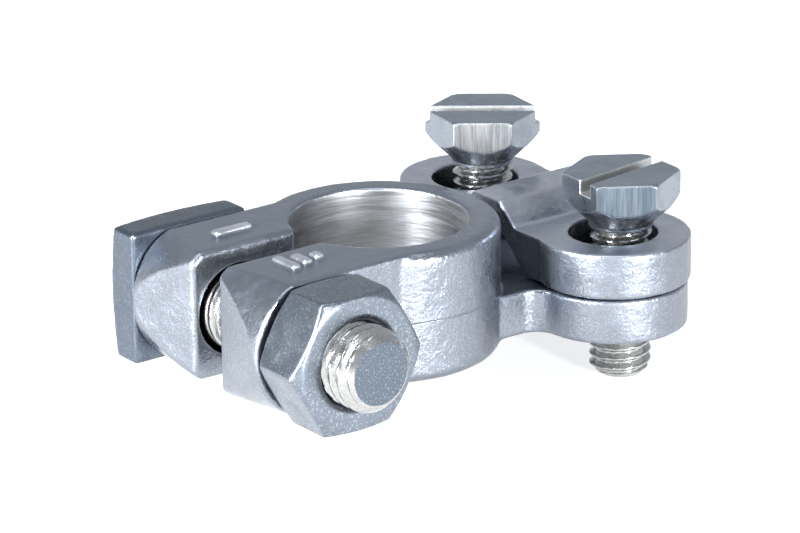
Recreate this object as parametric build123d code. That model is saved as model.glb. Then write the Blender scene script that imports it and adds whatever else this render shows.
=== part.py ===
from build123d import *
import math
import os

# Battery-post ground clamp: a split cast ring with bolted ears, and a screwed bridge that grips the cable.
# Millimetres. The origin is on the post bore's axis, at the ring's bottom face. +Z is up along the bore,
# +X points to the cable end and +Y to the clamp bolt's head.

# Ring that closes on the battery post
BORE_R = 8.6
RING_R = 11.65
RING_H = 12.9
RING_EDGE_R = 1.0

# Ears: two flattened round bosses on the clamp bolt's axis, either side of the slot
BOLT_X = -15.0
BOLT_Z = 6.5
EAR_SLOT_R = 7.7           # the bosses taper from the slot to their outer faces
EAR_END_R = 6.9
EAR_Z0 = 0.2
SLOT_EDGE_R = 0.6
SLOT_W = 4.0
FAR_EAR_Y = 9.8
NEAR_EAR_Y = -10.4
EAR_HOLE_R = 4.5
BEVEL_X = -20.1            # where the slanted end facet leaves the slot
BEVEL_RUN = 0.24           # how far the facet runs out in X for each mm of Y
SINK = 0.2                 # how far raised marks start below the top face
MINUS_SIZE = (4.2, 1.0, 0.5)
MINUS_POS = (-13.4, 5.3)
BAR_LENGTHS = (3.4, 2.3, 1.2)
BAR_POS = (-13.2, -5.6)
BAR_W = 0.95
BAR_PITCH = 1.7
BAR_H = 0.5

# Lug plate with two threaded screw lugs
LUG_Z0 = 1.0
LUG_Z1 = 5.4
LUG_R = 7.4
LUG_X = 20.0
LUG_Y = 10.75
NECK_Y = 8.9
PLATE_END_X = 26.5         # the plate's end between the two lugs
NECK_FILLET_R = 2.2
SCREW_X = 21.2
SCREW_Y = 10.7
LUG_HOLE_R = 3.05
SADDLE_X = 12.3            # the cable saddle runs from here to the plate's end
SADDLE_HALF_W = 4.0
SADDLE_DEPTH = 1.6

# Cable bridge
BRIDGE_GAP = 0.1
BRIDGE_Z0 = LUG_Z1 + BRIDGE_GAP
BRIDGE_Z1 = 10.0
LOBE_R = 7.55
LOBE_X = 20.2
BRIDGE_HOLE_R = 4.3
ARCH_TOP_Z = 12.2
ARCH_TOP_Y = 2.1
ARCH_FOOT_Y = 4.3
ARCH_ROOT = 1.5            # how far the arch's flanks run down inside the bridge
BRIDGE_END_INSET = 0.4     # the middle stops this far short of the lobes' tangents
CABLE_R = 4.4              # roof of the cable channel
CABLE_Z = 5.2
CHANNEL_SLOPE = math.radians(45)

# Clamp bolt: M8 x 1.25 square head, and its hexagon nut
M8_R = 4.0
M8_ROOT_R = 3.32
M8_PITCH = 1.25
FLANK_PART = 0.4           # a groove's flank, as a part of the pitch
ROOT_PART = 0.1            # a groove's floor, as a part of the pitch
END_CHAMFER = 1.6          # a thread's end chamfer, in thread depths
BOLT_HEAD_W = 13.2
BOLT_HEAD_T = 3.3
BOLT_HEAD_DOME = 1.2
HEAD_GAP = 0.15
BOLT_END_Y = -20.0
NUT_AF = 13.0
NUT_T = 6.0
NUT_GAP = 0.5
NUT_THREAD_R = 4.07
NUT_SINK_R = 4.6
NUT_FACE_R = 6.4           # flat part of the nut's faces, inside the chamfer
NUT_CHAMFER = math.radians(30)
SHANK_LEN = 8.0

# Cable screws: M6 x 1 slotted hexagon heads
M6_R = 3.0
M6_ROOT_R = 2.45
M6_PITCH = 1.0
SCREW_AF = 10.0
SCREW_HEAD_T = 2.4         # prismatic part of the head, above its cone
SCREW_CONE_T = 2.6
SCREW_COLLAR_R = 3.15
SCREW_COLLAR_T = 0.5
SCREW_LEN = 20.5           # from the top of the head to the end of the thread
SCREW_TOP_CHAMFER = (0.35, 0.2)
DRIVE_W = 1.6
DRIVE_DEPTH = 1.4
REAR_TOP_Z = 16.9
FRONT_TOP_Z = 15.9
REAR_HEX_DEG = -38.5
REAR_DRIVE_DEG = -38.5
FRONT_HEX_DEG = -34.0
FRONT_DRIVE_DEG = 7.0


def along_y(radius, y_from, y_to, x=BOLT_X, z=BOLT_Z):
    """A round bar parallel to Y, from one Y to another."""
    plane = Plane(origin=(x, y_from, z), x_dir=(1, 0, 0), z_dir=(0, 1, 0))
    return extrude(plane * Circle(radius), amount=y_to - y_from)


def upright(radius, z_from, z_to, x=0.0, y=0.0):
    """A round bar parallel to Z."""
    return extrude(Plane.XY.offset(z_from) * Pos(x, y) * Circle(radius), amount=z_to - z_from)


def block(x_from, x_to, y_from, y_to, z_from, z_to):
    """A box between two corners."""
    middle = ((x_from + x_to) / 2, (y_from + y_to) / 2, (z_from + z_to) / 2)
    return Pos(*middle) * Box(x_to - x_from, y_to - y_from, z_to - z_from)


def slanted_end(outer_y):
    """The wedge that is cut from an ear's end, deepest at the slot."""
    side = math.copysign(1, outer_y)
    reach = abs(outer_y) + 1
    corners = [
        (BEVEL_X, 0.0),
        (BEVEL_X, side * SLOT_W / 2),
        (BEVEL_X - BEVEL_RUN * (reach - SLOT_W / 2), side * reach),
        (BEVEL_X - 10, side * reach),
        (BEVEL_X - 10, 0.0),
    ]
    outline = make_face(Polyline(*corners, close=True))
    return extrude(Plane.XY.offset(-1) * outline, amount=RING_H + 2)


def ear(outer_y):
    """One ear: a boss flattened to the ring's height, joined to the ring."""
    inner_y = math.copysign(SLOT_W / 2, outer_y)
    low_y, high_y = min(inner_y, outer_y), max(inner_y, outer_y)
    axis_end = Plane(origin=(BOLT_X, inner_y, BOLT_Z), x_dir=(1, 0, 0), z_dir=(0, math.copysign(1, outer_y), 0))
    length = abs(outer_y - inner_y)
    boss = axis_end * Cone(EAR_SLOT_R, EAR_END_R, length, align=(Align.CENTER, Align.CENTER, Align.MIN))
    web = block(BOLT_X, 0, low_y, high_y, EAR_Z0, RING_H)
    band = block(BOLT_X - 20, 20, low_y, high_y, EAR_Z0, RING_H)
    return (boss + web) & band


def ring():
    """The solid drum of the ring, with rounded rims; the bore is cut later."""
    drum = upright(RING_R, 0, RING_H)
    return fillet(drum.edges().filter_by(GeomType.CIRCLE), RING_EDGE_R)


def lug_plate():
    """The flat plate that leaves the ring and ends in two round lugs."""
    sketch = Sketch() + Pos(PLATE_END_X / 2, 0) * Rectangle(PLATE_END_X, 2 * NECK_Y)
    for side in (1, -1):
        sketch += Pos(LUG_X, side * LUG_Y) * Circle(LUG_R)
    inside = [v for v in sketch.vertices() if abs(abs(v.Y) - NECK_Y) < 0.01 and 1 < v.X < LUG_X]
    sketch = fillet(inside, NECK_FILLET_R)
    return extrude(Plane.XY.offset(LUG_Z0) * sketch, amount=LUG_Z1 - LUG_Z0)


def cable_saddle():
    """The shallow round trough across the plate that the cable lies in."""
    radius = (SADDLE_HALF_W ** 2 + SADDLE_DEPTH ** 2) / (2 * SADDLE_DEPTH)
    centre_z = LUG_Z1 - SADDLE_DEPTH + radius
    section = Plane.YZ.offset(SADDLE_X) * Pos(0, centre_z) * Circle(radius)
    return extrude(section, amount=PLATE_END_X - SADDLE_X + 1)


def slot_edges(body):
    """The outline of both ears where they face the slot, without the edges at the ring's bore."""
    wall = SLOT_W / 2
    found = []
    for edge in body.edges():
        box = edge.bounding_box()
        flat = abs(box.max.Y - box.min.Y) < 0.001 and abs(abs(box.max.Y) - wall) < 0.001
        if flat and box.max.X < -BORE_R + 0.6:
            found.append(edge)
    return found


def clamp_body():
    """The main casting."""
    body = ring() + lug_plate() + ear(FAR_EAR_Y) + ear(NEAR_EAR_Y)
    body -= upright(BORE_R, -1, RING_H + 1)
    body -= block(-40, 0, -SLOT_W / 2, SLOT_W / 2, -1, RING_H + 1)
    body = body - slanted_end(FAR_EAR_Y) - slanted_end(NEAR_EAR_Y)
    body = fillet(slot_edges(body), SLOT_EDGE_R)
    body -= along_y(EAR_HOLE_R, NEAR_EAR_Y - 1, FAR_EAR_Y + 1)
    body -= cable_saddle()
    for side in (1, -1):
        body -= upright(LUG_HOLE_R, LUG_Z0 - 1, LUG_Z1 + 1, SCREW_X, side * SCREW_Y)
    x, y = MINUS_POS
    length, width, height = MINUS_SIZE
    body += block(x - length / 2, x + length / 2, y - width / 2, y + width / 2, RING_H - SINK, RING_H + height)
    for row, length in enumerate(BAR_LENGTHS):
        x = BAR_POS[0] + (row - 1) * BAR_PITCH
        y = BAR_POS[1]
        body += block(x - BAR_W / 2, x + BAR_W / 2, y - length / 2, y + length / 2, RING_H - SINK, RING_H + BAR_H)
    return body


def channel_section():
    """Cross-section of the space under the arch, in the YZ plane: a round roof on two sloping sides."""
    y_tangent = CABLE_R * math.sin(CHANNEL_SLOPE)
    z_tangent = CABLE_Z + CABLE_R * math.cos(CHANNEL_SLOPE)
    below = BRIDGE_Z0 - 1
    y_foot = y_tangent + (z_tangent - below) / math.tan(CHANNEL_SLOPE)
    roof = ThreePointArc((-y_tangent, z_tangent), (0, CABLE_Z + CABLE_R), (y_tangent, z_tangent))
    sides = Polyline((y_tangent, z_tangent), (y_foot, below), (-y_foot, below), (-y_tangent, z_tangent))
    return make_face(Plane.YZ * (roof + sides))


def arch_section():
    """Cross-section of the raised middle, in the YZ plane."""
    foot = BRIDGE_Z1 - ARCH_ROOT
    foot_y = ARCH_FOOT_Y + ARCH_ROOT * (ARCH_FOOT_Y - ARCH_TOP_Y) / (ARCH_TOP_Z - BRIDGE_Z1)
    corners = [(-foot_y, foot), (foot_y, foot), (ARCH_TOP_Y, ARCH_TOP_Z), (-ARCH_TOP_Y, ARCH_TOP_Z)]
    return make_face(Plane.YZ * Polyline(*corners, close=True))


def cable_bridge():
    """The casting that presses on the cable: two round lobes joined by an arch."""
    x_low, x_high = LOBE_X - LOBE_R, LOBE_X + LOBE_R
    x_from, x_to = x_low + BRIDGE_END_INSET, x_high - BRIDGE_END_INSET
    body = block(x_from, x_to, -SCREW_Y, SCREW_Y, BRIDGE_Z0, BRIDGE_Z1)
    for side in (1, -1):
        body += upright(LOBE_R, BRIDGE_Z0, BRIDGE_Z1, LOBE_X, side * SCREW_Y)
    body += extrude(Pos(x_from, 0, 0) * arch_section(), amount=x_to - x_from, dir=(1, 0, 0))
    body -= extrude(Pos(x_low - 1, 0, 0) * channel_section(), amount=2 * LOBE_R + 2, dir=(1, 0, 0))
    for side in (1, -1):
        body -= upright(BRIDGE_HOLE_R, BRIDGE_Z0 - 1, BRIDGE_Z1 + 1, LOBE_X, side * SCREW_Y)
    return body


def clamp_bolt():
    """Square-head bolt along Y: domed head at +Y, plain shank, then grooves that stand for the thread."""
    head_y = FAR_EAR_Y + HEAD_GAP
    dome_top = head_y + BOLT_HEAD_T + BOLT_HEAD_DOME
    half = BOLT_HEAD_W / 2
    head = block(BOLT_X - half, BOLT_X + half, head_y, dome_top, BOLT_Z - half, BOLT_Z + half)
    corner = half * math.sqrt(2)
    dome_r = (corner ** 2 + BOLT_HEAD_DOME ** 2) / (2 * BOLT_HEAD_DOME)
    head &= Pos(BOLT_X, dome_top - dome_r, BOLT_Z) * Sphere(dome_r)
    thread_from = head_y - SHANK_LEN
    shank = along_y(M8_R, thread_from, head_y + BOLT_HEAD_T / 2)
    end_frame = Plane(origin=(BOLT_X, BOLT_END_Y, BOLT_Z), x_dir=(1, 0, 0), z_dir=(0, 1, 0))
    return head + shank + thread(M8_R, M8_ROOT_R, M8_PITCH, thread_from - BOLT_END_Y, end_frame)


def thread(major_r, root_r, pitch, length, frame):
    """A ringed rod that stands for a thread: crests at the major radius, a chamfer at the free end."""
    lead = END_CHAMFER * (major_r - root_r)
    points = [(0, 0), (major_r - lead, 0), (major_r, lead)]
    flank, floor = FLANK_PART * pitch, ROOT_PART * pitch
    at = lead + pitch / 4
    while at + pitch < length:
        points += [(major_r, at), (root_r, at + flank)]
        points += [(root_r, at + flank + floor), (major_r, at + 2 * flank + floor)]
        at += pitch
    points += [(major_r, length), (0, length)]
    profile = make_face(Plane.XZ * Polyline(*points, close=True))
    return frame * revolve(profile, Axis.Z)


def hex_prism(across_flats, height, degrees, z_from):
    """A hexagonal prism with one corner at the given angle from +X."""
    outline = Rot(0, 0, degrees) * RegularPolygon(across_flats / math.sqrt(3), 6)
    return extrude(Plane.XY.offset(z_from) * outline, amount=height)


def clamp_nut():
    """Hexagon nut on the bolt, with both faces chamfered and both mouths countersunk."""
    outside = NUT_AF / math.sqrt(3) + 1
    skirt = (outside - NUT_FACE_R) * math.tan(NUT_CHAMFER)
    profile = [(0, 0), (NUT_FACE_R, 0), (outside, skirt), (outside, NUT_T - skirt), (NUT_FACE_R, NUT_T), (0, NUT_T)]
    nut = hex_prism(NUT_AF, NUT_T, 0, 0) & revolve(make_face(Plane.XZ * Polyline(*profile, close=True)), Axis.Z)
    sink = NUT_SINK_R - NUT_THREAD_R
    hole = [(0, -1), (NUT_SINK_R + 1, -1), (NUT_THREAD_R, sink), (NUT_THREAD_R, NUT_T - sink)]
    hole += [(NUT_SINK_R + 1, NUT_T + 1), (0, NUT_T + 1)]
    nut -= revolve(make_face(Plane.XZ * Polyline(*hole, close=True)), Axis.Z)
    seat = Plane(origin=(BOLT_X, NEAR_EAR_Y - NUT_GAP, BOLT_Z), x_dir=(1, 0, 0), z_dir=(0, -1, 0))
    return seat * nut


def bridge_screw(side, top_z, hex_deg, drive_deg):
    """Slotted hexagon-head screw: a cone under the head runs into a plain collar and the thread."""
    corner = SCREW_AF / math.sqrt(3)
    cone_top = top_z - SCREW_HEAD_T
    cone_low = cone_top - SCREW_CONE_T
    collar_low = cone_low - SCREW_COLLAR_T
    end_z = top_z - SCREW_LEN
    inward, down = SCREW_TOP_CHAMFER
    profile = [(0, cone_low), (SCREW_COLLAR_R, cone_low), (corner, cone_top)]
    profile += [(corner, top_z - down), (corner - inward, top_z), (0, top_z)]
    head = revolve(make_face(Plane.XZ * Polyline(*profile, close=True)), Axis.Z)
    head &= hex_prism(SCREW_AF, top_z - cone_low, hex_deg, cone_low)
    slot = Pos(0, 0, top_z) * Rot(0, 0, drive_deg) * Box(3 * corner, DRIVE_W, 2 * DRIVE_DEPTH)
    rod = thread(M6_R, M6_ROOT_R, M6_PITCH, collar_low - end_z, Plane.XY.offset(end_z))
    screw = head - slot + upright(SCREW_COLLAR_R, collar_low, cone_low) + rod
    return Pos(SCREW_X, side * SCREW_Y, 0) * screw


os.makedirs("parts", exist_ok=True)
nodes = {
    "clamp_body": clamp_body(),
    "cable_bridge": cable_bridge(),
    "clamp_bolt": clamp_bolt(),
    "clamp_nut": clamp_nut(),
    "bridge_screw_rear": bridge_screw(1, REAR_TOP_Z, REAR_HEX_DEG, REAR_DRIVE_DEG),
    "bridge_screw_front": bridge_screw(-1, FRONT_TOP_Z, FRONT_HEX_DEG, FRONT_DRIVE_DEG),
}
for name, shape in nodes.items():
    export_step(shape, f"parts/{name}.step")
    box = shape.bounding_box()
    print(name, len(shape.solids()), round(shape.volume, 1), box.min, box.max)
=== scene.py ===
import math
import bmesh
import bpy
import numpy as np
from mathutils import Matrix, Vector, noise


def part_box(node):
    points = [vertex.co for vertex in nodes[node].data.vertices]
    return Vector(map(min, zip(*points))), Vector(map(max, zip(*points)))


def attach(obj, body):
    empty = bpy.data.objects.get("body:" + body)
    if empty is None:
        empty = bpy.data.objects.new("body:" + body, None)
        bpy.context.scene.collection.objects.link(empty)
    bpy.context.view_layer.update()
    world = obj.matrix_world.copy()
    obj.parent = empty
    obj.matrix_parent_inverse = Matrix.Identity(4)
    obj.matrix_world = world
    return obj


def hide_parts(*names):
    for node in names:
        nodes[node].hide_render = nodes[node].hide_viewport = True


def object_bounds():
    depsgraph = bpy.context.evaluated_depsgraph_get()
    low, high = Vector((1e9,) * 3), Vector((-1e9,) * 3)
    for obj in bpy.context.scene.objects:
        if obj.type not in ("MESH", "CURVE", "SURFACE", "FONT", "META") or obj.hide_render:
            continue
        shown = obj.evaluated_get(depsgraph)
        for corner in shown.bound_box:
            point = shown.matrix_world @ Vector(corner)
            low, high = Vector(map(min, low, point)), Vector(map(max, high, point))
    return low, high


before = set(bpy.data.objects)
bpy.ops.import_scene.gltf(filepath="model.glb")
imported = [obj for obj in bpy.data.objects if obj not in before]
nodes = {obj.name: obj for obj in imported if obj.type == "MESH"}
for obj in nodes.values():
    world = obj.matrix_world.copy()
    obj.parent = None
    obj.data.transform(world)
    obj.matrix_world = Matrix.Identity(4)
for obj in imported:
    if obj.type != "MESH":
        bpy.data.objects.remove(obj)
cad_box = [list(corner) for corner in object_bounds()]

MM = 0.001

# ---------------------------------------------------------------- camera
CAMERA_AZIMUTH = math.radians(-37.29)
CAMERA_ELEVATION = math.radians(19.73)
CAMERA_ROLL = math.radians(-0.58)
CAMERA_DISTANCE = 0.398
CAMERA_LENS = 186.4
CAMERA_TARGET = Vector((2.51, 0.0, 7.29)) * MM


def direction(azimuth, elevation):
    """The unit vector from the object towards a place at that azimuth and elevation."""
    level = math.cos(elevation)
    return Vector((math.sin(azimuth) * level, -math.cos(azimuth) * level, math.sin(elevation)))


def make_camera():
    back = direction(CAMERA_AZIMUTH, CAMERA_ELEVATION)
    level_right = Vector((math.cos(CAMERA_AZIMUTH), math.sin(CAMERA_AZIMUTH), 0))
    level_up = back.cross(level_right)
    right = math.cos(CAMERA_ROLL) * level_right + math.sin(CAMERA_ROLL) * level_up
    up = back.cross(right)
    data = bpy.data.cameras.new("camera")
    data.lens = CAMERA_LENS
    data.clip_start, data.clip_end = 0.01, 20
    camera = bpy.data.objects.new("camera", data)
    bpy.context.scene.collection.objects.link(camera)
    turned = Matrix((right, up, back)).transposed().to_4x4()
    camera.matrix_world = Matrix.Translation(CAMERA_TARGET + back * CAMERA_DISTANCE) @ turned
    bpy.context.scene.camera = camera


make_camera()


# ---------------------------------------------------------------- material helpers
class Nodes:
    """Short calls for building one material's node tree."""

    def __init__(self, name):
        self.material = bpy.data.materials.new(name)
        self.material.use_nodes = True
        self.tree = self.material.node_tree
        self.shader = self.tree.nodes["Principled BSDF"]
        self.place = self.add("ShaderNodeTexCoord").outputs["Object"]

    def add(self, kind, **settings):
        node = self.tree.nodes.new(kind)
        for key, value in settings.items():
            setattr(node, key, value)
        return node

    def put(self, value, socket):
        if isinstance(value, bpy.types.NodeSocket):
            self.tree.links.new(value, socket)
        else:
            socket.default_value = value

    def noise(self, scale, detail, roughness, vector=None):
        node = self.add("ShaderNodeTexNoise")
        self.put(vector or self.place, node.inputs["Vector"])
        node.inputs["Scale"].default_value = scale
        node.inputs["Detail"].default_value = detail
        node.inputs["Roughness"].default_value = roughness
        return node.outputs["Fac"]

    def stretched(self, scale):
        node = self.add("ShaderNodeMapping")
        self.put(self.place, node.inputs["Vector"])
        node.inputs["Scale"].default_value = scale
        return node.outputs["Vector"]

    def math(self, operation, a, b=0.0):
        node = self.add("ShaderNodeMath", operation=operation)
        self.put(a, node.inputs[0])
        self.put(b, node.inputs[1])
        return node.outputs[0]

    def ramp(self, value, low, high, to_low=0.0, to_high=1.0):
        node = self.add("ShaderNodeMapRange", interpolation_type="SMOOTHSTEP")
        self.put(value, node.inputs["Value"])
        limits = {"From Min": low, "From Max": high, "To Min": to_low, "To Max": to_high}
        for name, number in limits.items():
            self.put(number, node.inputs[name])
        return node.outputs["Result"]

    def mix(self, factor, a, b):
        node = self.add("ShaderNodeMix", data_type="RGBA")
        self.put(factor, node.inputs[0])
        for value, socket in ((a, node.inputs[6]), (b, node.inputs[7])):
            self.put(value if isinstance(value, bpy.types.NodeSocket) else (*value, 1.0), socket)
        return node.outputs[2]

    def bump(self, height, distance):
        node = self.add("ShaderNodeBump")
        node.inputs["Strength"].default_value = 1.0
        node.inputs["Distance"].default_value = distance
        self.put(height, node.inputs["Height"])
        return node.outputs["Normal"]

    def surface(self, colour, roughness, normal):
        """Finishes a bare metal and returns its material."""
        self.put(colour, self.shader.inputs["Base Color"])
        self.put(roughness, self.shader.inputs["Roughness"])
        self.put(normal, self.shader.inputs["Normal"])
        self.shader.inputs["Metallic"].default_value = 1.0
        return self.material


# noise scales are in features per metre, and bump heights in metres
GRAIN_SCALE, LUMP_SCALE, FLECK_SCALE = 3400, 1500, 7200
CASTING_RELIEF = 0.06 * MM
FLECK_COLOUR = (0.7, 0.74, 0.81)
RUBBED_COLOUR = (0.8, 0.83, 0.87)
SEAM_COLOUR = (0.2, 0.21, 0.22)
SEAM_WANDER = 0.4 * MM
SEAM_EDGE, SEAM_CORE = 0.13 * MM, 0.03 * MM
SEAM_START_X, SEAM_FULL_X = -11.5 * MM, -8.5 * MM
MARKS_BASE_Z, MARKS_TOP_Z = 12.98 * MM, 13.22 * MM


def casting(name, side_colour, painted_light_top_colour, parting_z=None):
    """Die-cast zinc: grainy walls, smoother level faces coloured lighter as painted light, and
    raised marks rubbed bright.

    With parting_z there is also a fine parting line round the walls at that height.
    """
    n = Nodes(name)
    geometry = n.add("ShaderNodeNewGeometry")
    split = n.add("ShaderNodeSeparateXYZ")
    n.put(geometry.outputs["Normal"], split.inputs[0])
    place = n.add("ShaderNodeSeparateXYZ")
    n.put(n.place, place.inputs[0])
    # 0 on the walls and 1 on the level faces, where the grain is a fifth as deep and the colour
    # turns to the top colour, which is painted light
    top = n.ramp(n.math("ABSOLUTE", split.outputs["Z"]), 0.45, 0.85)
    grain = n.noise(GRAIN_SCALE, 3, 0.6)
    lumps = n.noise(LUMP_SCALE, 2, 0.5)
    rough_height = n.math("ADD", n.math("MULTIPLY", grain, 0.75), n.math("MULTIPLY", lumps, 0.8))
    height = n.math("MULTIPLY", rough_height, n.ramp(top, 0.0, 1.0, 1.0, 0.2))
    height = n.math("ADD", height, n.math("MULTIPLY", n.noise(330, 3, 0.55), 0.5))
    if parting_z is not None:
        wander = n.math("MULTIPLY", n.math("SUBTRACT", n.noise(150, 2, 0.5), 0.5), SEAM_WANDER)
        above = n.math("SUBTRACT", n.math("ADD", place.outputs["Z"], wander), parting_z)
        off = n.math("ABSOLUTE", above)
        seam = n.math("MULTIPLY", n.ramp(off, SEAM_EDGE, SEAM_CORE), n.ramp(top, 0.5, 0.0))
        seam = n.math("MULTIPLY", seam, n.ramp(n.noise(420, 2, 0.5), 0.3, 0.55, 0.25, 1.0))
        seam = n.math("MULTIPLY", seam, n.ramp(place.outputs["X"], SEAM_START_X, SEAM_FULL_X))
        height = n.math("SUBTRACT", height, n.math("MULTIPLY", seam, 0.9))
    # painted light: level faces and slopes take the lighter top colour; then darker clouds and
    # pale flecks in the colour
    colour = n.mix(top, side_colour, painted_light_top_colour)
    cloud = n.ramp(n.noise(260, 4, 0.6), 0.3, 0.7)
    colour = n.mix(n.math("MULTIPLY", cloud, 0.3), colour, tuple(0.7 * c for c in side_colour))
    speckle = n.ramp(n.noise(FLECK_SCALE, 1, 0.5), 0.5, 0.72)
    fleck = n.math("MULTIPLY", speckle, n.ramp(top, 0, 1, 0.22, 0.1))
    colour = n.mix(fleck, colour, FLECK_COLOUR)
    raised = n.ramp(place.outputs["Z"], MARKS_BASE_Z, MARKS_TOP_Z)
    colour = n.mix(n.math("MULTIPLY", raised, 0.6), colour, RUBBED_COLOUR)
    if parting_z is not None:
        colour = n.mix(n.math("MULTIPLY", seam, 0.5), colour, SEAM_COLOUR)
    roughness = n.math("ADD", n.ramp(top, 0, 1, 0.31, 0.32), n.ramp(cloud, 0, 1, -0.05, 0.08))
    return n.surface(colour, roughness, n.bump(height, CASTING_RELIEF))


BORE_DARK, BORE_LIGHT = (0.27, 0.28, 0.3), (0.37, 0.383, 0.405)
BORE_STAIN = (0.27, 0.25, 0.23)
BORE_RELIEF = 0.018 * MM


def bored(name):
    """Machined bore: fine lines round it, brighter and duller bands, and brown stains."""
    n = Nodes(name)
    fine = n.noise(1.0, 2, 0.6, n.stretched((420, 420, 8200)))
    broad = n.noise(1.0, 2, 0.5, n.stretched((120, 120, 1500)))
    stain = n.ramp(n.noise(190, 3, 0.6), 0.42, 0.72)
    colour = n.mix(n.ramp(fine, 0.35, 0.65), BORE_DARK, BORE_LIGHT)
    colour = n.mix(n.math("MULTIPLY", stain, 0.5), colour, BORE_STAIN)
    roughness = n.ramp(broad, 0.3, 0.7, 0.32, 0.42)
    height = n.math("ADD", fine, n.math("MULTIPLY", broad, 0.3))
    return n.surface(colour, roughness, n.bump(height, BORE_RELIEF))


# colour of the hollows: grime and painted shade
GRIME_AND_SHADE_COLOUR = (0.2, 0.19, 0.17)
PLATING_RELIEF = 0.06 * MM


def plated(name, tone, bright, roughness=0.3, flecks=0.3, wear_and_painted_light=1.0):
    """Zinc plating on steel: a thin haze, small dents, and bright flecks.

    The last argument is how strongly edges are lightened, as rubbed wear and painted highlight,
    and hollows are darkened, as grime and painted shade, from 0 to 1.
    """
    n = Nodes(name)
    geometry = n.add("ShaderNodeNewGeometry")
    edge = n.ramp(geometry.outputs["Pointiness"], 0.51, 0.57)
    hollow = n.ramp(geometry.outputs["Pointiness"], 0.48, 0.42)
    haze = n.noise(300, 4, 0.65)
    fine = n.noise(4600, 2, 0.6)
    fleck = n.ramp(fine, 0.52, 0.7)
    height = n.math("ADD", n.math("MULTIPLY", fine, 0.3), n.noise(420, 2, 0.5))
    colour = n.mix(n.ramp(haze, 0.35, 0.7), tone, tuple(0.8 * c for c in tone))
    colour = n.mix(n.math("MULTIPLY", fleck, flecks), colour, bright)
    # grime and painted shade: hollows darkened
    colour = n.mix(n.math("MULTIPLY", hollow, 0.5 * wear_and_painted_light), colour, GRIME_AND_SHADE_COLOUR)
    # rubbed wear and painted highlight: edges lightened
    colour = n.mix(n.math("MULTIPLY", edge, 0.5 * wear_and_painted_light), colour, bright)
    rough = n.ramp(haze, 0.3, 0.75, roughness - 0.06, roughness + 0.1)
    return n.surface(colour, rough, n.bump(height, PLATING_RELIEF))


BRUSHED_ROUGHNESS = 0.4
BRUSHED_RELIEF = 0.03 * MM


def brushed(name, low, high):
    """Drawn hexagon bar: flats with fine lines along the bar, which stands upright."""
    n = Nodes(name)
    lines = n.noise(1.0, 3, 0.6, n.stretched((5200, 5200, 260)))
    broad = n.noise(1.0, 2, 0.5, n.stretched((1100, 1100, 90)))
    both = n.math("ADD", n.math("MULTIPLY", lines, 0.6), n.math("MULTIPLY", broad, 0.4))
    colour = n.mix(n.ramp(both, 0.38, 0.62), low, high)
    return n.surface(colour, BRUSHED_ROUGHNESS, n.bump(both, BRUSHED_RELIEF))


# ---------------------------------------------------------------- mesh helpers
def new_piece(name, mesh):
    piece = bpy.data.objects.new(name, mesh)
    bpy.context.scene.collection.objects.link(piece)
    return piece


def evaluated(piece):
    """The piece's mesh with its modifiers applied; the modifiers are then removed."""
    graph = bpy.context.evaluated_depsgraph_get()
    mesh = bpy.data.meshes.new_from_object(piece.evaluated_get(graph))
    piece.modifiers.clear()
    piece.data = mesh
    return mesh


MARK_SOFTNESS = 0.08         # how much of the smoothing reaches the raised marks
# dents per millimetre, and their share of the depth
DENT_OCTAVES = ((0.55, 1.0), (1.4, 0.6), (3.1, 0.3))


def rounded(name, node, voxel, passes, keep_above=None, marks=(), dents=0.0, smooth_bore=None):
    """A new piece with a node's shape and softly rounded edges. Lengths here are in millimetres.

    keep_above is (axis, place): what is below that place is cut off. marks are boxes that stay
    crisper, and dents is the depth of the shallow unevenness of a casting, which stays off the
    wall inside smooth_bore.
    """
    mesh = nodes[node].data.copy()
    mesh.materials.clear()
    bm = bmesh.new()
    bm.from_mesh(mesh)
    bmesh.ops.remove_doubles(bm, verts=bm.verts, dist=1e-7)
    bmesh.ops.scale(bm, vec=(1 / MM,) * 3, verts=bm.verts)
    if keep_above is not None:
        axis, place = keep_above
        everything = bm.verts[:] + bm.edges[:] + bm.faces[:]
        cut = bmesh.ops.bisect_plane(
            bm, geom=everything, plane_co=axis * place, plane_no=axis, clear_inner=True,
        )
        rim = [e for e in cut["geom_cut"] if isinstance(e, bmesh.types.BMEdge)]
        bmesh.ops.holes_fill(bm, edges=rim)
    bm.to_mesh(mesh)
    bm.free()
    piece = new_piece(name, mesh)
    remesh = piece.modifiers.new("remesh", "REMESH")
    remesh.mode = "VOXEL"
    remesh.voxel_size = voxel
    mesh = evaluated(piece)
    group = piece.vertex_groups.new(name="soft")
    in_mark = [
        v.index for v in mesh.vertices
        if any(all(low[k] <= v.co[k] <= high[k] for k in range(3)) for low, high in marks)
    ]
    group.add(range(len(mesh.vertices)), 1.0, "REPLACE")
    group.add(in_mark, MARK_SOFTNESS, "REPLACE")
    smooth = piece.modifiers.new("smooth", "SMOOTH")
    smooth.factor = 0.5
    smooth.iterations = passes
    smooth.vertex_group = "soft"
    mesh = evaluated(piece)
    piece.vertex_groups.clear()
    if dents:
        normals = [v.normal.copy() for v in mesh.vertices]
        for vertex, normal in zip(mesh.vertices, normals):
            co = vertex.co
            if smooth_bore is None or math.hypot(co.x, co.y) > smooth_bore:
                depth = sum(share * noise.noise(co * scale) for scale, share in DENT_OCTAVES)
                vertex.co = co + normal * (dents * depth)
    mesh.transform(Matrix.Scale(MM, 4))
    mesh.name = name
    mesh.polygons.foreach_set("use_smooth", [True] * len(mesh.polygons))
    return piece


AROUND = 96                  # points round a rod
ROWS_PER_PITCH = 14
CREST, FLANK = 0.16, 0.66    # flat crest and sloping flank, as parts of half a pitch
ROOT_ROUNDING = 0.8          # part of the full depth at which the root's rounding starts
CAP_RINGS = (0.93, 0.8, 0.6, 0.4, 0.2)   # radii of an end cap's rings, as parts of the rim's
SHARP_EDGE = math.radians(40)


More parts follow.
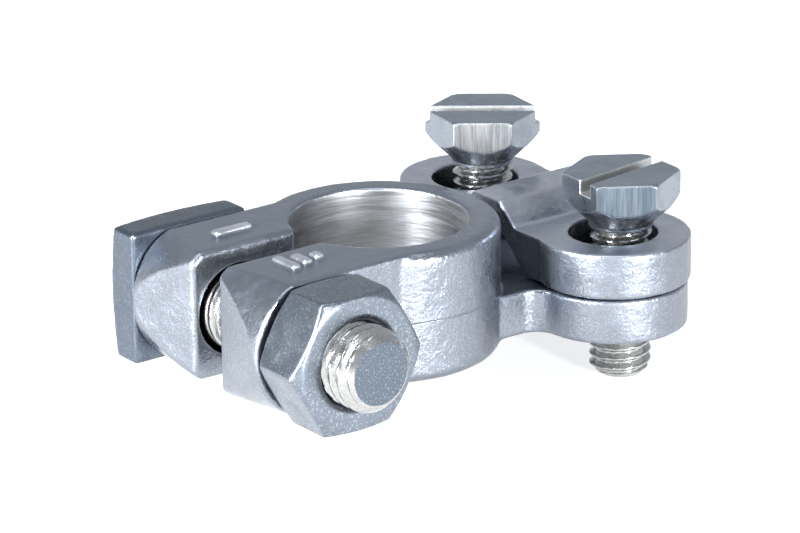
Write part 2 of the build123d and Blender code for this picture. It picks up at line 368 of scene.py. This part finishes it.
def threaded_rod(name, start, axis, length, major, root, pitch, thread_length, chamfer):
    """A rod from its free end, with a right-hand helical thread on its first thread_length."""
    rows = int(length / pitch * ROWS_PER_PITCH) + 1
    s = np.linspace(0, length, rows)[:, None]
    angle = (np.arange(AROUND) * 2 * math.pi / AROUND)[None, :]
    phase = np.mod(s / pitch - angle / (2 * math.pi), 1.0)
    away = np.abs(phase - 0.5) * 2
    depth = np.clip((away - CREST) / FLANK, 0, 1)
    past = (depth - ROOT_ROUNDING) / (1 - ROOT_ROUNDING)
    eased = ROOT_ROUNDING + (1 - ROOT_ROUNDING) * np.sin(past * math.pi / 2)
    depth = np.where(depth > ROOT_ROUNDING, eased, depth)
    fade = np.clip((thread_length - s) / pitch, 0, 1)
    radius = major - (major - root) * depth * fade
    radius = np.minimum(radius, major - chamfer + s * np.ones_like(angle))
    axis = Vector(axis)
    side = Vector((1, 0, 0))
    other = axis.cross(side)
    points = []
    for row in range(rows):
        centre = Vector(start) + axis * float(s[row, 0])
        for k in range(AROUND):
            a = float(angle[0, k])
            outward = math.cos(a) * side + math.sin(a) * other
            points.append(centre + float(radius[row, k]) * outward)
    faces = []
    for row in range(rows - 1):
        for k in range(AROUND):
            a, b = row * AROUND + k, row * AROUND + (k + 1) % AROUND
            faces.append((a, b, b + AROUND, a + AROUND))
    for row, inward in ((0, True), (rows - 1, False)):
        centre = Vector(start) + axis * float(s[row, 0])
        outer = row * AROUND
        rim = points[outer:outer + AROUND]
        for share in CAP_RINGS:
            inner = len(points)
            points.extend(centre + share * (point - centre) for point in rim)
            for k in range(AROUND):
                face = (outer + (k + 1) % AROUND, outer + k, inner + k, inner + (k + 1) % AROUND)
                faces.append(face if inward else face[::-1])
            outer = inner
        middle = len(points)
        points.append(centre)
        for k in range(AROUND):
            face = (outer + (k + 1) % AROUND, outer + k, middle)
            faces.append(face if inward else face[::-1])
    mesh = bpy.data.meshes.new(name)
    mesh.from_pydata(points, [], faces)
    mesh.update()
    on_side = [k < (rows - 1) * AROUND for k in range(len(mesh.polygons))]
    mesh.polygons.foreach_set("use_smooth", on_side)
    mesh.polygons.foreach_set("material_index", [int(not side_face) for side_face in on_side])
    mesh.set_sharp_from_angle(angle=SHARP_EDGE)
    return new_piece(name, mesh)


def settle(piece, body, node, slot, *materials):
    """Gives a piece its materials and body, and hides the node that it stands for. slot is not
    used.
    """
    for material in materials:
        piece.data.materials.append(material)
    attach(piece, body)
    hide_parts(node)


# ---------------------------------------------------------------- castings
BORE_FACE = 8.85 * MM        # faces nearer the axis than this are the bore's
BORE_END_X = -8.3 * MM       # where the bore's wall ends at the slot
UPRIGHT = 0.4                # the most that an upright face's normal points up or down
PARTING_Z = 6.1 * MM

CAST_SIDE = (0.235, 0.258, 0.3)
# the top colours are lighter copies of the wall colour: painted light on the level faces
BODY_TOP_PAINTED_LIGHT, BRIDGE_TOP_PAINTED_LIGHT = (0.25, 0.28, 0.33), (0.47, 0.5, 0.565)
body_cast = casting("cast_body", CAST_SIDE, BODY_TOP_PAINTED_LIGHT, parting_z=PARTING_Z)
bridge_cast = casting("cast_bridge", CAST_SIDE, BRIDGE_TOP_PAINTED_LIGHT)
bore_metal = bored("machined_bore")

# boxes round the raised marks on the two ears, in millimetres
MARKS = (((-18, 4.2, 12.7), (-9, 6.4, 14)), ((-17, -8.5, 12.7), (-9, -3, 14)))
clamp = rounded(
    "clamp_casting", "clamp_body", voxel=0.16, passes=11, marks=MARKS, dents=0.02, smooth_bore=9.2,
)
settle(clamp, "body", "clamp_body", "casting", body_cast, bore_metal)
for face in clamp.data.polygons:
    centre = face.center
    in_bore = math.hypot(centre.x, centre.y) < BORE_FACE and centre.x > BORE_END_X
    if in_bore and abs(face.normal.z) < UPRIGHT:
        face.material_index = 1
bridge = rounded("bridge_piece", "cable_bridge", voxel=0.16, passes=14, dents=0.03)
settle(bridge, "bridge", "cable_bridge", "bridge_casting", bridge_cast)

# ---------------------------------------------------------------- clamp bolt and nut
HEAD_LENGTH = 4.5 * MM
SHANK_LENGTH = 8.0 * MM
bolt_low, bolt_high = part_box("clamp_bolt")
bolt_x, bolt_z = (bolt_low.x + bolt_high.x) / 2, (bolt_low.z + bolt_high.z) / 2
bearing_y = bolt_high.y - HEAD_LENGTH
BRIGHT = (0.74, 0.77, 0.8)
bolt_steel = plated("plated_bolt", (0.13, 0.158, 0.2), BRIGHT, flecks=0.12, wear_and_painted_light=0.0)
rod_end_steel = plated("rod_end", (0.13, 0.16, 0.2), BRIGHT, flecks=0.25, wear_and_painted_light=0.0)
nut_steel = plated("plated_nut", (0.19, 0.22, 0.263), BRIGHT, roughness=0.33, wear_and_painted_light=0.3)
screw_steel = plated("plated_screw", (0.28, 0.32, 0.37), BRIGHT, flecks=0.12)
# one flat on each screw, the one turned towards the camera, gets its own tone: painted light on
# the rear screw's flat and painted shade on the front screw's darker flat; the fine lines are the
# bar's own
rear_flat_painted_light = brushed("rear_flat_painted_light", (0.18, 0.197, 0.213), (0.38, 0.38, 0.38))
front_flat_painted_shade = brushed("front_flat_painted_shade", (0.075, 0.096, 0.12), (0.125, 0.15, 0.175))
slot_steel = plated("cut_slot", (0.47, 0.48, 0.49), (0.66, 0.66, 0.66), roughness=0.45)
# the threads take a lighter, warmer copy of the plating: the warmth is their own tone, the extra
# lightness a painted highlight
thread_steel_painted_highlight = plated(
    "plated_thread", (0.48, 0.485, 0.48), (0.82, 0.83, 0.82), roughness=0.2, wear_and_painted_light=0.0,
)

# a head's mesh is cut just off its bearing face or collar, and the drawn rod runs on into it
BOLT_CUT, BOLT_ROD_INTO_HEAD = -0.4 * MM, 0.5 * MM
SCREW_CUT, SCREW_ROD_INTO_HEAD = 0.05 * MM, 0.4 * MM
head = rounded(
    "bolt_head", "clamp_bolt", voxel=0.2, passes=28,
    keep_above=(Vector((0, 1, 0)), (bearing_y + BOLT_CUT) / MM),
)
settle(head, "bolt", "clamp_bolt", "bolt_steel", bolt_steel)
rod = threaded_rod(
    "bolt_rod", (bolt_x, bolt_low.y, bolt_z), (0, 1, 0),
    length=bearing_y - bolt_low.y + BOLT_ROD_INTO_HEAD,
    major=4.0 * MM, root=3.3 * MM, pitch=1.25 * MM,
    thread_length=bearing_y - bolt_low.y - SHANK_LENGTH, chamfer=1.0 * MM,
)
settle(rod, "bolt", "clamp_bolt", "bolt_steel", thread_steel_painted_highlight, rod_end_steel)
nut = rounded("hex_nut", "clamp_nut", voxel=0.11, passes=30)
settle(nut, "nut", "clamp_nut", "nut_steel", nut_steel)

# ---------------------------------------------------------------- cable screws
HEAD_AND_COLLAR = 5.5 * MM
SLOT_DEPTH = 1.5 * MM
SLOT_HALF_WIDTH = 0.86 * MM
SLOT_RIM = 0.12 * MM         # the top face's rounded edge, which isn't the slot's
FLAT_COSINE = 0.93           # how squarely a face must face that way to be the flat's
PAST_THE_ROD = 2.0 * MM      # a thread this much longer than its rod keeps its full depth
# place, azimuth across the slot, azimuth of the one brushed flat, and that flat's material, whose
# tone is painted light on the rear screw and painted shade on the front
SCREWS = (("rear", -38.5, -38.5, rear_flat_painted_light), ("front", 7.0, -34.0, front_flat_painted_shade))
for place, slot_azimuth, flat_azimuth, flat in SCREWS:
    node, body = f"bridge_screw_{place}", f"{place}_screw"
    low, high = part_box(node)
    collar_z = high.z - HEAD_AND_COLLAR
    head = rounded(
        f"{place}_screw_head", node, voxel=0.09, passes=5,
        keep_above=(Vector((0, 0, 1)), (collar_z + SCREW_CUT) / MM),
    )
    settle(head, body, node, "screw_steel", screw_steel, slot_steel, flat)
    middle = (low + high) / 2
    across = direction(math.radians(slot_azimuth), 0)
    flat_normal = direction(math.radians(flat_azimuth), 0)
    for face in head.data.polygons:
        depth = high.z - face.center.z
        aside = abs((face.center - middle).dot(across))
        if SLOT_RIM < depth < SLOT_DEPTH and aside < SLOT_HALF_WIDTH:
            face.material_index = 1
        # the flat turned towards the camera takes its painted light and shade flat material
        elif face.normal.dot(flat_normal) > FLAT_COSINE:
            face.material_index = 2
    rod = threaded_rod(
        f"{place}_screw_rod", (middle.x, middle.y, low.z), (0, 0, 1),
        length=collar_z - low.z + SCREW_ROD_INTO_HEAD,
        major=3.0 * MM, root=2.42 * MM, pitch=1.0 * MM,
        thread_length=collar_z - low.z + PAST_THE_ROD, chamfer=0.85 * MM,
    )
    settle(rod, body, node, "screw_steel", thread_steel_painted_highlight, rod_end_steel)

# ---------------------------------------------------------------- floor and light
FLOOR_SIZE = 6.0
FLOOR_GREY = (0.35, 0.35, 0.35, 1)
FLOOR_GLOW = 0.72            # emission that keeps the floor white without strong lights
FLOOR_GAP = 0.05 * MM
floor_z = cad_box[0][2] - FLOOR_GAP
LIGHT_AIM = Vector((4.0, 0, 6.0)) * MM   # about the middle of the clamp
SKY_LOW, SKY_HIGH = (0.6, 0.63, 0.67, 1), (0.45, 0.47, 0.5, 1)


def make_floor():
    mesh = bpy.data.meshes.new("floor")
    h = FLOOR_SIZE / 2
    corners = [(x, y, floor_z) for x, y in ((-h, -h), (h, -h), (h, h), (-h, h))]
    mesh.from_pydata(corners, [], [(0, 1, 2, 3)])
    floor = new_piece("floor", mesh)
    n = Nodes("pale_floor")
    n.shader.inputs["Base Color"].default_value = FLOOR_GREY
    n.shader.inputs["Roughness"].default_value = 0.9
    n.shader.inputs["Emission Color"].default_value = (1, 1, 1, 1)
    n.shader.inputs["Emission Strength"].default_value = FLOOR_GLOW
    mesh.materials.append(n.material)


def softbox(name, azimuth, elevation, distance, width, height, power, colour=(1, 1, 1)):
    """A rectangular light that faces the object. Angles are in degrees, lengths in metres."""
    data = bpy.data.lights.new(name, "AREA")
    data.shape = "RECTANGLE"
    data.size, data.size_y = width, height
    data.energy = power
    data.color = colour
    light = bpy.data.objects.new(name, data)
    bpy.context.scene.collection.objects.link(light)
    towards = direction(math.radians(azimuth), math.radians(elevation))
    light.location = LIGHT_AIM + towards * distance
    light.rotation_mode = "QUATERNION"
    light.rotation_quaternion = towards.to_track_quat("Z", "Y")


def make_sky():
    world = bpy.data.worlds.new("studio")
    bpy.context.scene.world = world
    world.use_nodes = True
    tree = world.node_tree
    place = tree.nodes.new("ShaderNodeTexCoord")
    split = tree.nodes.new("ShaderNodeSeparateXYZ")
    ramp = tree.nodes.new("ShaderNodeValToRGB")
    tree.links.new(place.outputs["Generated"], split.inputs[0])
    tree.links.new(split.outputs["Z"], ramp.inputs[0])
    tree.links.new(ramp.outputs[0], tree.nodes["Background"].inputs["Color"])
    ends = zip(ramp.color_ramp.elements, (0.0, 1.0), (SKY_LOW, SKY_HIGH))
    for element, position, colour in ends:
        element.position, element.color = position, colour


make_floor()
make_sky()
# the two tall narrow boxes draw upright streaks on the round walls
softbox("key", -82, 17, distance=0.45, width=0.04, height=0.24, power=10.5)
softbox("side", -1, 9, distance=0.45, width=0.04, height=0.12, power=4.2)
softbox(
    "overhead", -37, 80, distance=0.7, width=0.5, height=0.5, power=2.0, colour=(0.95, 0.98, 1.0),
)
bpy.context.scene.view_settings.view_transform = "Standard"
